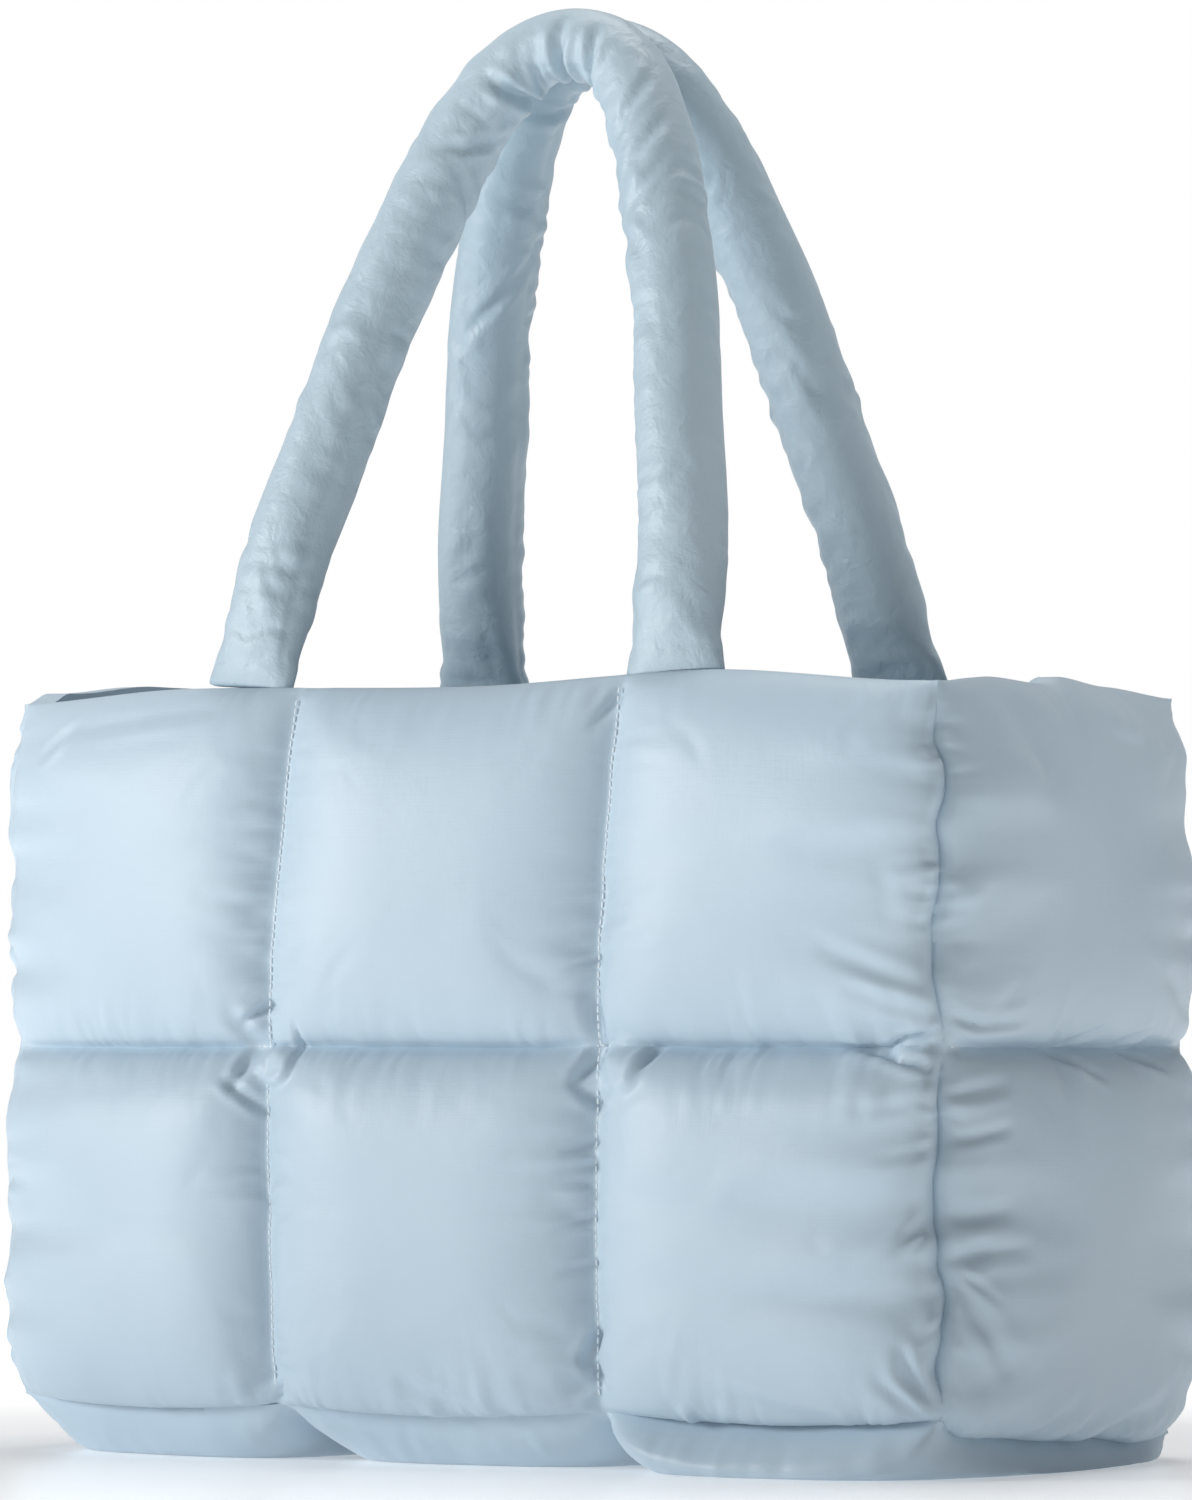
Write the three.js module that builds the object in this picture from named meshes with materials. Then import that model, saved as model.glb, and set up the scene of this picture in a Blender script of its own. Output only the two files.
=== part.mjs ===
// Puffer tote bag: four quilted walls and a quilted base, all wadded, with two stuffed tube handles sewn into the rim.
// Millimetres, +Z up, X along the bag's length, Y through its depth. The origin is on the floor under the bag's middle.
import * as THREE from "three";

// The seams form a box, and every puff stands out from it.
const bagLength = 417; // corner seam to corner seam
const bagDepth = 192; // front seams to back seams
const baseSeamHeight = 22; // where the walls are sewn to the base
const quiltSeamHeight = 156; // where the upper row of puffs meets the lower row
const rimHeight = 290;
const frontColumns = 3; // puffs across the front, the back and the base

// How the sewn box gives way: the mouth closes in a little, and the seams under the end walls sag.
const lengthLean = 1; // how far each end leans in at the rim
const depthLean = 2; // how far the front and back lean in at the rim's corners
const mouthBow = 9; // how much further the front and back rims bow in at their middle
const frontSeamSag = 3; // the base seam between two crossings, on the front and the back
const endSeamSag = 9; // the base seam at the middle of each end
const crossingPull = 4; // how far the stitching draws in where two quilting seams cross
const crossingReach = 6; // how tightly that pull keeps to the crossing
const cornerFade = 8; // how near a corner seam the pull fades out
const cornerPush = 27; // how far the left front corner is turned back
const pushCurve = 1.5; // how gradually the left column turns back: 1 is a straight fold
const leanCurve = 1.6; // how gradually the walls lean in above the quilting seam

// The padded wall.
const seamWall = 4; // shell, flattened wadding and lining where they are stitched through
const rimWall = 8; // the turned edge at the mouth
const rimHemCurve = 3; // how close under the rim the wall thickens to its turned edge
const shellRise = 20; // how far a puff stands out of its seams
const baseRise = 36; // the same under the base, before the floor flattens it
const baseSpread = 30; // how far the fullest base puff squeezes out over the floor
const spreadWidth = 0.12; // the part of a base puff that squeezes out
const liningRise = 7; // how far the lining bulges into the bag
const puffCrown = 2.6; // how flat a puff is across its middle: 2 is round, and more is flatter
const puffShoulder = 0.55; // how steeply it leaves its seams: 1 is gentle, and less is steeper
const cornerFan = 0.6; // radians that a puff's edge turns towards a corner seam
const hemFan = 0.35; // radians that a puff's lower edge droops over the base seam

// The stuffed handles.
const footSpread = 94; // from a handle's middle to the middle of each foot
const handleRise = 248; // from the rim to the middle of the tube at the top
const frontFootShift = -2; // how far the feet stand off the middle, towards their right seen from outside
const frontTopShift = 7; // the same at the handle's top
const backFootShift = -4;
const backTopShift = -1;
const pushFadeShare = 0.3; // the part of a handle, from its feet, that follows the turned corner
const handleWidth = 35; // the tube seen from the front
const handleDepth = 31; // the tube seen from the side
const footWidth = 42; // the flat end sewn into the rim
const topDepth = 27; // the tube at the top, where the two handles press together
const topHeight = 27;

// Clearances and facets.
const seamGap = 0.3; // between two pieces that are sewn together
const topGap = 0.8; // between the two handles at the top
const squarePuffSteps = 9; // facets across a puff of the front, the back or the base's length
const widePuffSteps = 11; // facets across a puff as wide as the bag is deep
const handleSides = 12;
const handleSteps = 46;

// One row of puffs each, from the base seam up: its puffs' rise as a share of shellRise.
const puffRows = [
  { row: "lower", rise: 1.1 },
  { row: "upper", rise: 0.95 },
];

// The base's puffs: rise is a share of baseRise, and spread of baseSpread.
const basePuffs = [
  { puff: "left", rise: 0.9, spread: 0 },
  { puff: "middle", rise: 0.8, spread: 0 },
  { puff: "right", rise: 1, spread: 1 },
];

// The rim's height along each wall, seen from outside: at runs from -1 at the left corner to 1 at the right one,
// and lift is a share of rimWave.
const rimWave = 4;
const rimLifts = {
  front_panel: [
    { at: -1, lift: -0.4 },
    { at: -0.6, lift: 0.5 },
    { at: 0, lift: 0 },
    { at: 0.5, lift: 1 },
    { at: 1, lift: -0.6 },
  ],
  right_panel: [
    { at: -1, lift: -0.6 },
    { at: -0.55, lift: 0.1 },
    { at: -0.15, lift: -0.2 },
    { at: 0, lift: 0.6 },
    { at: 0.4, lift: 0 },
    { at: 1, lift: -0.6 },
  ],
  back_panel: [
    { at: -1, lift: -0.6 },
    { at: -0.45, lift: 0.5 },
    { at: 0.45, lift: 0.5 },
    { at: 1, lift: 2.2 },
  ],
  left_panel: [
    { at: -1, lift: 2.2 },
    { at: 0, lift: 2 },
    { at: 0.8, lift: 0.8 },
    { at: 1, lift: -0.4 },
  ],
};

// A handle from a foot to its top: out is a share of footSpread and up a share of handleRise.
const handleRoute = [
  { out: 1, up: 0 },
  { out: 0.965, up: 0.1 },
  { out: 0.905, up: 0.25 },
  { out: 0.795, up: 0.42 },
  { out: 0.7, up: 0.58 },
  { out: 0.58, up: 0.72 },
  { out: 0.45, up: 0.85 },
  { out: 0.25, up: 0.965 },
];

// The tube's section by its height up the handle: wide and deep are shares of handleWidth and handleDepth.
const handleSections = [
  { up: 0, wide: footWidth / handleWidth, deep: rimWall / handleDepth },
  { up: 0.04, wide: 1.14, deep: 0.5 },
  { up: 0.07, wide: 1.03, deep: 0.68 },
  { up: 0.13, wide: 1.04, deep: 0.9 },
  { up: 0.3, wide: 1, deep: 1 },
  { up: 0.75, wide: 0.96, deep: 1 },
  { up: 0.9, wide: 0.88, deep: 0.95 },
  { up: 1, wide: topHeight / handleWidth, deep: topDepth / handleDepth },
];

// A value from a table, eased from one row to the next.
function fromTable(rows, key, at, value) {
  const next = rows.findIndex((row) => row[key] >= at);
  if (next === 0) return rows[0][value];
  if (next < 0) return rows[rows.length - 1][value];
  const [low, high] = [rows[next - 1], rows[next]];
  return THREE.MathUtils.lerp(low[value], high[value], THREE.MathUtils.smoothstep(at, low[key], high[key]));
}

// How full a puff is at a place from -1 to 1 across it: steep at its seams and flat in its middle.
const fullness = (place) => Math.pow(Math.max(0, 1 - Math.pow(Math.abs(place), puffCrown)), puffShoulder);
const gentle = (place) => 1 - place * place;
const clampToOne = (place) => THREE.MathUtils.clamp(place, -1, 1);

// Places from -1 to 1 across a run of puffs, closer together beside each seam.
function quiltPlaces(puffs, steps) {
  const places = [-1];
  for (let puff = 0; puff < puffs; puff++)
    for (let step = 1; step <= steps; step++) {
      const across = -Math.cos((Math.PI * step) / steps);
      places.push(step === steps && puff === puffs - 1 ? 1 : (2 * puff + 1 + across) / puffs - 1);
    }
  return places;
}

// Which puff a place falls in, and where in it from -1 to 1.
function puffAt(place, puffs) {
  const along = ((place + 1) / 2) * puffs;
  const index = Math.min(puffs - 1, Math.floor(along + 1e-9));
  return { index, place: clampToOne(2 * (along - index) - 1) };
}

// A closed solid between an outer and an inner skin that share one grid of places.
function paddedSolid(acrossPlaces, upPlaces, outerPoint, innerPoint) {
  const [columns, rows] = [acrossPlaces.length, upPlaces.length];
  const points = [];
  for (const skin of [outerPoint, innerPoint])
    for (const up of upPlaces) for (const across of acrossPlaces) points.push(...skin(across, up));
  const index = [];
  const corner = (skin, column, row) => (skin * rows + row) * columns + column;
  const quad = (a, b, c, d) => index.push(a, b, c, a, c, d);
  for (let row = 0; row + 1 < rows; row++)
    for (let column = 0; column + 1 < columns; column++)
      for (const skin of [0, 1]) {
        const [a, b] = [corner(skin, column, row), corner(skin, column + 1, row)];
        const [c, d] = [corner(skin, column + 1, row + 1), corner(skin, column, row + 1)];
        if (skin === 0) quad(a, b, c, d);
        else quad(a, d, c, b);
      }
  for (let column = 0; column + 1 < columns; column++) {
    quad(corner(1, column, 0), corner(1, column + 1, 0), corner(0, column + 1, 0), corner(0, column, 0));
    const top = rows - 1;
    quad(corner(0, column, top), corner(0, column + 1, top), corner(1, column + 1, top), corner(1, column, top));
  }
  for (let row = 0; row + 1 < rows; row++) {
    quad(corner(0, 0, row), corner(0, 0, row + 1), corner(1, 0, row + 1), corner(1, 0, row));
    const end = columns - 1;
    quad(corner(1, end, row), corner(1, end, row + 1), corner(0, end, row + 1), corner(0, end, row));
  }
  const geometry = new THREE.BufferGeometry();
  geometry.setAttribute("position", new THREE.Float32BufferAttribute(points, 3));
  geometry.setIndex(index);
  geometry.computeVertexNormals();
  return geometry;
}

// The base seam's height along the front or back, and along an end.
const frontSeamAt = (place) => baseSeamHeight - frontSeamSag * gentle(puffAt(place, frontColumns).place);
const endSeamAt = (place) => baseSeamHeight - endSeamSag * gentle(place);

// Half the gap of a mitred seam, along the edge of either piece.
const mitreGap = seamGap / Math.SQRT2;

// One wall, drawn as the front is: its outside faces -Y, and up runs from 0 at the base seam to 2 at the rim.
function wallGeometry(wall) {
  const rimAt = (across) => rimHeight + rimWave * fromTable(rimLifts[wall.name], "at", across, "lift");
  const heightAt = (x, across, up) =>
    up < 1
      ? THREE.MathUtils.lerp(wall.seamAt(across), quiltSeamHeight, up)
      : THREE.MathUtils.lerp(quiltSeamHeight, rimAt(x / (wall.half - wall.halfLean)), up - 1);
  const leaning = (up) => (up > 1 ? Math.pow(up - 1, leanCurve) : 0);
  const halfAt = (up) => wall.half - wall.halfLean * leaning(up);
  const reachAt = (across, up) =>
    wall.reach - (wall.reachLean + wall.bow * gentle(across)) * leaning(up);
  const thickAt = (up) =>
    up > 1 ? THREE.MathUtils.lerp(seamWall, rimWall, Math.pow(up - 1, rimHemCurve)) : seamWall;

  const outerPoint = (across, up) => {
    const column = puffAt(across, wall.columns);
    const row = puffAt(up - 1, puffRows.length);
    const rise = shellRise * puffRows[row.index].rise * fullness(column.place) * fullness(row.place);
    const atCorner = Math.abs(across) > 1 - 1 / wall.columns && column.place * across > 0;
    const sideways = atCorner ? cornerFan * column.place * Math.abs(column.place) : 0;
    const droop = row.index === 0 && row.place < 0 ? -hemFan * row.place * row.place : 0;
    const inside = 1 - Math.pow(Math.abs(across), cornerFade);
    const nearSeam = Math.pow(Math.abs(column.place), crossingReach);
    const nearQuiltSeam = Math.pow(1 - Math.abs(up - 1), crossingReach);
    const pull = crossingPull * nearSeam * nearQuiltSeam * inside;
    const x = across * (halfAt(up) - mitreGap);
    return [
      x + rise * Math.sin(sideways),
      -reachAt(across, up) + pull - rise * Math.cos(sideways) * Math.cos(droop),
      heightAt(x, across, up) + (up === 0 ? mitreGap : 0) + rise * Math.sin(droop),
    ];
  };
  const innerPoint = (across, up) => {
    const column = puffAt(across, wall.columns);
    const row = puffAt(up - 1, puffRows.length);
    const rise = liningRise * gentle(column.place) * gentle(row.place);
    const thick = thickAt(up);
    const floor = (seamWall + mitreGap) * Math.max(0, 1 - up);
    const x = across * (halfAt(up) - thick - mitreGap);
    return [x, -reachAt(across, up) + thick + rise, heightAt(x, across, up) + floor];
  };
  const acrossPlaces = quiltPlaces(wall.columns, wall.steps);
  const upPlaces = quiltPlaces(puffRows.length, squarePuffSteps).map((place) => place + 1);
  return paddedSolid(acrossPlaces, upPlaces, outerPoint, innerPoint);
}

// How far a squashed puff moves out beside its seam, from nothing at the seam itself.
function squeezeOut(place) {
  const inside = (1 - Math.abs(place)) / spreadWidth;
  return Math.sign(place) * inside * Math.exp(1 - inside);
}

// The base hangs from the four base seams, and its puffs lie flat where they meet the floor.
function baseGeometry() {
  const seamSurface = (x, y) => frontSeamAt(x) + endSeamAt(y) - baseSeamHeight;
  const outerPoint = (x, forward) => {
    const y = -forward;
    const column = puffAt(x, frontColumns);
    const puff = basePuffs[column.index];
    const drop = baseRise * puff.rise * fullness(column.place) * fullness(y);
    const spread = baseSpread * puff.spread;
    const atEnd = column.index === frontColumns - 1 && column.place > 0;
    const endwise = atEnd ? spread * gentle(y) * squeezeOut(column.place) : 0;
    return [
      x * (bagLength / 2 - mitreGap) + endwise,
      y * (bagDepth / 2 - mitreGap) + spread * fullness(column.place) * squeezeOut(y),
      Math.max(0, seamSurface(x, y) - drop),
    ];
  };
  const innerPoint = (x, forward) => {
    const y = -forward;
    const column = puffAt(x, frontColumns);
    return [
      x * (bagLength / 2 - seamWall - mitreGap),
      y * (bagDepth / 2 - seamWall - mitreGap),
      seamSurface(x, y) + seamWall + liningRise * gentle(column.place) * gentle(y),
    ];
  };
  return paddedSolid(
    quiltPlaces(frontColumns, squarePuffSteps),
    quiltPlaces(1, widePuffSteps),
    outerPoint,
    innerPoint,
  );
}

// A handle drawn for the front of the bag: a tube lofted along its route, with flat feet on the rim.
function handleGeometry(wallName, footShift, topShift) {
  const footReach = bagDepth / 2 - depthLean - mouthBow * gentle(footSpread / (bagLength / 2)) - rimWall / 2;
  const topReach = (topDepth + topGap) / 2;
  const rimAt = (x) =>
    rimHeight + rimWave * fromTable(rimLifts[wallName], "at", x / (bagLength / 2 - lengthLean), "lift");
  const place = (side, { out, up }) =>
    new THREE.Vector3(
      side * out * footSpread + THREE.MathUtils.lerp(footShift, topShift, up),
      -THREE.MathUtils.lerp(footReach, topReach, up),
      rimHeight + handleRise * up,
    );
  const leftLeg = handleRoute.map((row) => place(-1, row));
  const rightLeg = handleRoute.map((row) => place(1, row)).reverse();
  const route = new THREE.CatmullRomCurve3([...leftLeg, place(0, { out: 0, up: 1 }), ...rightLeg]);
  const slope = new THREE.Vector3(0, footReach - topReach, handleRise).normalize();
  const facing = new THREE.Vector3(1, 0, 0).cross(slope).normalize();

  const points = [];
  for (let step = 0; step <= handleSteps; step++) {
    const share = step / handleSteps;
    const middle = route.getPointAt(share);
    const along = route.getTangentAt(share);
    const widthwise = new THREE.Vector3().crossVectors(facing, along).normalize();
    const up = THREE.MathUtils.clamp((middle.z - rimHeight) / handleRise, 0, 1);
    const halfWide = (handleWidth * fromTable(handleSections, "up", up, "wide")) / 2;
    const halfDeep = (handleDepth * fromTable(handleSections, "up", up, "deep")) / 2;
    const isFoot = step === 0 || step === handleSteps;
    for (let side = 0; side < handleSides; side++) {
      const turn = (2 * Math.PI * side) / handleSides;
      const point = middle
        .clone()
        .addScaledVector(widthwise, halfWide * Math.cos(turn))
        .addScaledVector(facing, halfDeep * Math.sin(turn));
      if (isFoot) point.z = rimAt(point.x) + seamGap;
      points.push(point.x, point.y, point.z);
    }
  }
  const index = [];
  for (let step = 0; step < handleSteps; step++)
    for (let side = 0; side < handleSides; side++) {
      const next = (side + 1) % handleSides;
      const [a, b] = [step * handleSides + side, step * handleSides + next];
      const [c, d] = [a + handleSides, b + handleSides];
      index.push(a, b, d, a, d, c);
    }
  // Each foot is closed in strips that run across the rim, so that it follows the rim's rise and fall.
  const last = handleSteps * handleSides;
  for (let side = 0; side < handleSides / 2; side++) {
    const [near, nextNear] = [side, side + 1];
    const [nextFar, far] = [handleSides - side - 1, handleSides - side];
    if (nextNear !== nextFar) {
      index.push(near, nextFar, nextNear);
      index.push(last + near, last + nextNear, last + nextFar);
    }
    if (side > 0) {
      index.push(near, far, nextFar);
      index.push(last + near, last + nextFar, last + far);
    }
  }
  const geometry = new THREE.BufferGeometry();
  geometry.setAttribute("position", new THREE.Float32BufferAttribute(points, 3));
  geometry.setIndex(index);
  geometry.computeVertexNormals();
  return geometry;
}

const quiltedNylon = new THREE.MeshStandardMaterial({ color: 0xbfd4e0, roughness: 0.62, metalness: 0 });
const handleNylon = new THREE.MeshStandardMaterial({ color: 0xb6ccd8, roughness: 0.62, metalness: 0 });

// The top of the highest stretch of rim, above which only the handles stand.
const highestRim = rimHeight + rimWave * Math.max(...Object.values(rimLifts).flat().map((row) => row.lift));

// The bag has settled with its left front corner turned back, and the rim takes the handles' feet along.
function settle(geometry) {
  const position = geometry.attributes.position;
  const column = bagLength / frontColumns;
  for (let i = 0; i < position.count; i++) {
    const turned = Math.max(0, -position.getX(i) - column / 2) / column;
    const front = (bagDepth / 2 - position.getY(i)) / bagDepth;
    const aboveRim = (position.getZ(i) - highestRim) / handleRise;
    const held = 1 - THREE.MathUtils.smoothstep(aboveRim, 0, pushFadeShare);
    position.setY(i, position.getY(i) + cornerPush * Math.pow(turned, pushCurve) * front * held);
  }
  geometry.computeVertexNormals();
}

function piece(name, geometry, material, turn) {
  geometry.rotateZ(turn);
  settle(geometry);
  const mesh = new THREE.Mesh(geometry, material);
  mesh.name = name;
  return mesh;
}

// The front and the back run along the bag, and the two ends run across it.
const alongBag = {
  half: bagLength / 2,
  halfLean: lengthLean,
  reach: bagDepth / 2,
  reachLean: depthLean,
  bow: mouthBow,
  columns: frontColumns,
  steps: squarePuffSteps,
  seamAt: frontSeamAt,
};
const acrossBag = {
  half: bagDepth / 2,
  halfLean: depthLean,
  reach: bagLength / 2,
  reachLean: lengthLean,
  bow: 0,
  columns: 1,
  steps: widePuffSteps,
  seamAt: endSeamAt,
};
const walls = [
  { name: "front_panel", turn: 0, ...alongBag },
  { name: "right_panel", turn: Math.PI / 2, ...acrossBag },
  { name: "back_panel", turn: Math.PI, ...alongBag },
  { name: "left_panel", turn: -Math.PI / 2, ...acrossBag },
];

const bag = new THREE.Group();
for (const wall of walls) bag.add(piece(wall.name, wallGeometry(wall), quiltedNylon, wall.turn));
bag.add(piece("base_panel", baseGeometry(), quiltedNylon, 0));
bag.add(piece("front_handle", handleGeometry("front_panel", frontFootShift, frontTopShift), handleNylon, 0));
bag.add(piece("back_handle", handleGeometry("back_panel", backFootShift, backTopShift), handleNylon, Math.PI));

export default bag;
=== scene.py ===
import math

import bpy
import numpy
from mathutils import Matrix, Vector, noise


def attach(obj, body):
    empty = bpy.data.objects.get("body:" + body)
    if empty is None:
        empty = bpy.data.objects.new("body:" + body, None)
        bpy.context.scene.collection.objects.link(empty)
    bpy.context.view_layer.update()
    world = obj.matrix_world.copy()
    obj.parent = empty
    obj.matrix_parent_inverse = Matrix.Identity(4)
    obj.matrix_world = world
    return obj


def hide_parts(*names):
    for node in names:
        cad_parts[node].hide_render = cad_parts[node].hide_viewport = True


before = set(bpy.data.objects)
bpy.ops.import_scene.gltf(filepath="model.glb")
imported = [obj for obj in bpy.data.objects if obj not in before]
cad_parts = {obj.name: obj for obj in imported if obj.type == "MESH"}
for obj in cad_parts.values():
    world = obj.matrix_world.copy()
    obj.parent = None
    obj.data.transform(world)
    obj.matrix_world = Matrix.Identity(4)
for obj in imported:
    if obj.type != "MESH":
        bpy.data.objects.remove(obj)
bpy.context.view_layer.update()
scene = bpy.context.scene

# Every length is in metres, and each wall is first drawn as the front is: outside towards -Y.
bag = {
    "length": 0.417,
    "depth": 0.192,
    "baseSeam": 0.022,
    "quiltSeam": 0.156,
    "rim": 0.290,
    "rimWave": 0.004,
    "lengthLean": 0.001,
    "depthLean": 0.002,
    "mouthBow": 0.009,
    "leanCurve": 1.6,
    "frontSag": 0.003,
    "endSag": 0.009,
    "cornerPush": 0.027,
    "pushCurve": 1.5,
    "seamWall": 0.004,
    "rimWall": 0.008,
    "hemCurve": 3,
    "cornerOverlap": 0.0001,  # walls and base run this far into each other, so that no light shows between
    "hemSlope": 0.4,  # how far a wall's cloth may hang below the base's seam, for each metre it stands out
    "endSinkFrom": 0.55,  # where along the bag the base's seam starts to sink
    "cell": 0.003,
}

# The wadded squares: how far they stand out, how flat their middles are, and how bluntly they meet each seam.
# A blunt side (1) leaves its seam open to the eye; a lower number makes the puff boxier there.
puffs = {
    "rise": 0.0185,
    "rows": (1.1, 0.95),
    "crown": 5.0,
    "uprightLift": 0.22,
    "shoulders": {"quilting": 0.9, "level": 0.6, "corner": 0.6, "rim": 0.75, "base": 0.6},
    "cornerFan": 0.6,
    "hemFan": 0.45,
    "levelHang": 0.35,
    "liningRise": 0.006,
}

# The cloth is gathered by its stitches: short folds run away from each seam, and the wadding presses it out.
gather = {
    "depth": 0.0019,
    "reach": 0.006,
    "spacing": 0.0085,
    "stretch": 4.0,
    "patch": 0.03,
    "farthest": 0.04,
    "sides": {"quilting": 1.0, "level": 0.8, "corner": 1.3, "rim": 0.5, "base": 1.0},
}
shellCloth = {"pressure": 4.0, "frames": 20, "excess": -0.04, "bending": 0.05, "cap": 0.004}

seamWander = {"fine": 0.0007, "fineScale": 90.0, "corner": 0.003, "cornerScale": 75.0, "rimHold": 0.02}

# How the rim rises along each wall, from its left corner seen from outside, as (place, share of rimWave).
rimLifts = {
    "front_panel": ((-1, -0.4), (-0.6, 0.5), (0, 0), (0.5, 1), (1, -0.6)),
    "right_panel": ((-1, -0.6), (-0.55, 0.1), (-0.15, -0.2), (0, 0.6), (0.4, 0), (1, -0.6)),
    "back_panel": ((-1, -0.6), (-0.45, 0.5), (0.45, 0.5), (1, 2.2)),
    "left_panel": ((-1, 2.2), (0, 2), (0.8, 0.8), (1, -0.4)),
}

# At the right end the base's seam sinks towards the back, as (place through the bag, metres down).
rightEndSink = ((-1, 0.0), (-0.85, 0.0037), (-0.5, 0.0014), (0.15, 0.002), (0.75, 0.0095), (1, 0.012))

# Where the front's two quilting seams wander to, as (place up the wall, sideways).
seamDrift = {
    "front_panel": (((0, -0.0013), (1, -0.0044), (2, 0.0008)), ((0, 0.0005), (1.1, 0.0), (2, 0.0035))),
}


def lerp(low, high, share):
    return low + (high - low) * share


def clamp(value, low, high):
    return max(low, min(high, value))


def ease(share):
    share = clamp(share, 0, 1)
    return share * share * (3 - 2 * share)


def fromTable(rows, at):
    if at <= rows[0][0]:
        return rows[0][1]
    for (lowAt, low), (highAt, high) in zip(rows, rows[1:]):
        if at <= highAt:
            return lerp(low, high, ease((at - lowAt) / (highAt - lowAt)))
    return rows[-1][1]


def fullness(place, lowSide, highSide):
    side = highSide if place > 0 else lowSide
    full = max(0.0, 1 - abs(place) ** puffs["crown"]) ** puffs["shoulders"][side]
    return lerp(puffs["uprightLift"] * abs(place), 1, full) if side == "quilting" else full


def gentle(place):
    return 1 - place * place


def puffAt(place, count):
    along = (place + 1) / 2 * count
    index = min(count - 1, int(along + 1e-6))
    return index, clamp(2 * (along - index) - 1, -1, 1)


def wander(at, seed, scale):
    return noise.noise(Vector((at * scale, seed * 7.3, 0.5)))


# The camera: level with the quilting seam, in front of the bag and to its right.
def makeCamera():
    view = {"azimuth": 30.5, "tilt": 2.04, "place": (1.6177, -2.7301, 0.156), "lens": 199.6}
    data = bpy.data.cameras.new("camera")
    data.sensor_width = 36
    data.lens = view["lens"]
    data.clip_end = 60
    camera = bpy.data.objects.new("camera", data)
    scene.collection.objects.link(camera)
    camera.location = view["place"]
    camera.rotation_euler = (math.radians(90 + view["tilt"]), 0, math.radians(view["azimuth"]))
    scene.camera = camera


def srgb(code):
    values = []
    for start in (0, 2, 4):
        value = int(code[start:start + 2], 16) / 255
        values.append(value / 12.92 if value <= 0.04045 else ((value + 0.055) / 1.055) ** 2.4)
    return (*values, 1.0)


# Adds one node with its settings, and links its named inputs to other nodes' outputs.
def addNode(tree, kind, settings=None, values=None, links=None):
    node = tree.nodes.new(kind)
    for name, value in (settings or {}).items():
        setattr(node, name, value)
    for name, value in (values or {}).items():
        node.inputs[name].default_value = value
    for name, (other, output) in (links or {}).items():
        tree.links.new(other.outputs[output], node.inputs[name])
    return node


def newMaterial(name):
    material = bpy.data.materials.new(name)
    material.use_nodes = True
    material.node_tree.nodes.clear()
    return material, material.node_tree


# Woven nylon taffeta, calendered: a close plain weave that reads as smooth, with a soft satin sheen and faint
# slubs along both threads. The real threads are 0.1 mm apart, so they are drawn 8 times coarser, to show.
def nylonTaffeta(name, look):
    material, tree = newMaterial(name)
    place = addNode(tree, "ShaderNodeTexCoord")
    bumps = None
    for scale in look["slubScales"]:
        stretch = (scale[0], scale[1], 1)
        mapping = addNode(
            tree, "ShaderNodeMapping", values={"Scale": stretch}, links={"Vector": (place, "UV")}
        )
        slub = addNode(
            tree, "ShaderNodeTexNoise",
            values={"Scale": 1, "Detail": 2, "Roughness": 0.6},
            links={"Vector": (mapping, "Vector")},
        )
        links = {"Height": (slub, "Fac")}
        if bumps:
            links["Normal"] = (bumps, "Normal")
        bumps = addNode(
            tree, "ShaderNodeBump", values={"Strength": look["slub"], "Distance": 0.0004}, links=links
        )
    crinkle = addNode(
        tree, "ShaderNodeTexNoise",
        values={"Scale": look["crinkleScale"], "Detail": 4, "Roughness": 0.55, "Distortion": 0.4},
        links={"Vector": (place, "Object")},
    )
    bumps = addNode(
        tree, "ShaderNodeBump",
        values={"Strength": look["crinkle"], "Distance": 0.002},
        links={"Height": (crinkle, "Fac"), "Normal": (bumps, "Normal")},
    )
    cloud = addNode(
        tree, "ShaderNodeTexNoise",
        values={"Scale": 9, "Detail": 3, "Roughness": 0.5},
        links={"Vector": (place, "Object")},
    )
    colour = addNode(
        tree, "ShaderNodeValToRGB", links={"Fac": (cloud, "Fac")},
    )
    colour.color_ramp.elements[0].position = 0.3
    colour.color_ramp.elements[0].color = srgb(look["low"])
    colour.color_ramp.elements[1].position = 0.7
    colour.color_ramp.elements[1].color = srgb(look["high"])
    rough = addNode(
        tree, "ShaderNodeMapRange",
        values={"To Min": look["roughness"] - 0.05, "To Max": look["roughness"] + 0.05},
        links={"Value": (cloud, "Fac")},
    )
    shader = addNode(
        tree, "ShaderNodeBsdfPrincipled",
        values={"IOR": 1.53, "Sheen Weight": 0.15, "Sheen Roughness": 0.4, "Specular IOR Level": 0.45},
        links={
            "Base Color": (colour, "Color"),
            "Roughness": (rough, "Result"),
            "Normal": (bumps, "Normal"),
        },
    )
    addNode(tree, "ShaderNodeOutputMaterial", links={"Surface": (shader, "BSDF")})
    return material


# Polyester sewing thread, twisted: a little lighter than the cloth and quite matt.
def sewingThread():
    material, tree = newMaterial("polyester_thread")
    place = addNode(tree, "ShaderNodeTexCoord")
    twist = addNode(
        tree, "ShaderNodeTexWave", settings={"bands_direction": "DIAGONAL"},
        values={"Scale": 900, "Distortion": 1.5},
        links={"Vector": (place, "Object")},
    )
    bump = addNode(
        tree, "ShaderNodeBump", values={"Strength": 0.4, "Distance": 0.0001}, links={"Height": (twist, "Fac")}
    )
    shader = addNode(
        tree, "ShaderNodeBsdfPrincipled",
        values={"Base Color": srgb("e8f1f6"), "Roughness": 0.7, "Sheen Weight": 0.3},
        links={"Normal": (bump, "Normal")},
    )
    addNode(tree, "ShaderNodeOutputMaterial", links={"Surface": (shader, "BSDF")})
    return material


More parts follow.
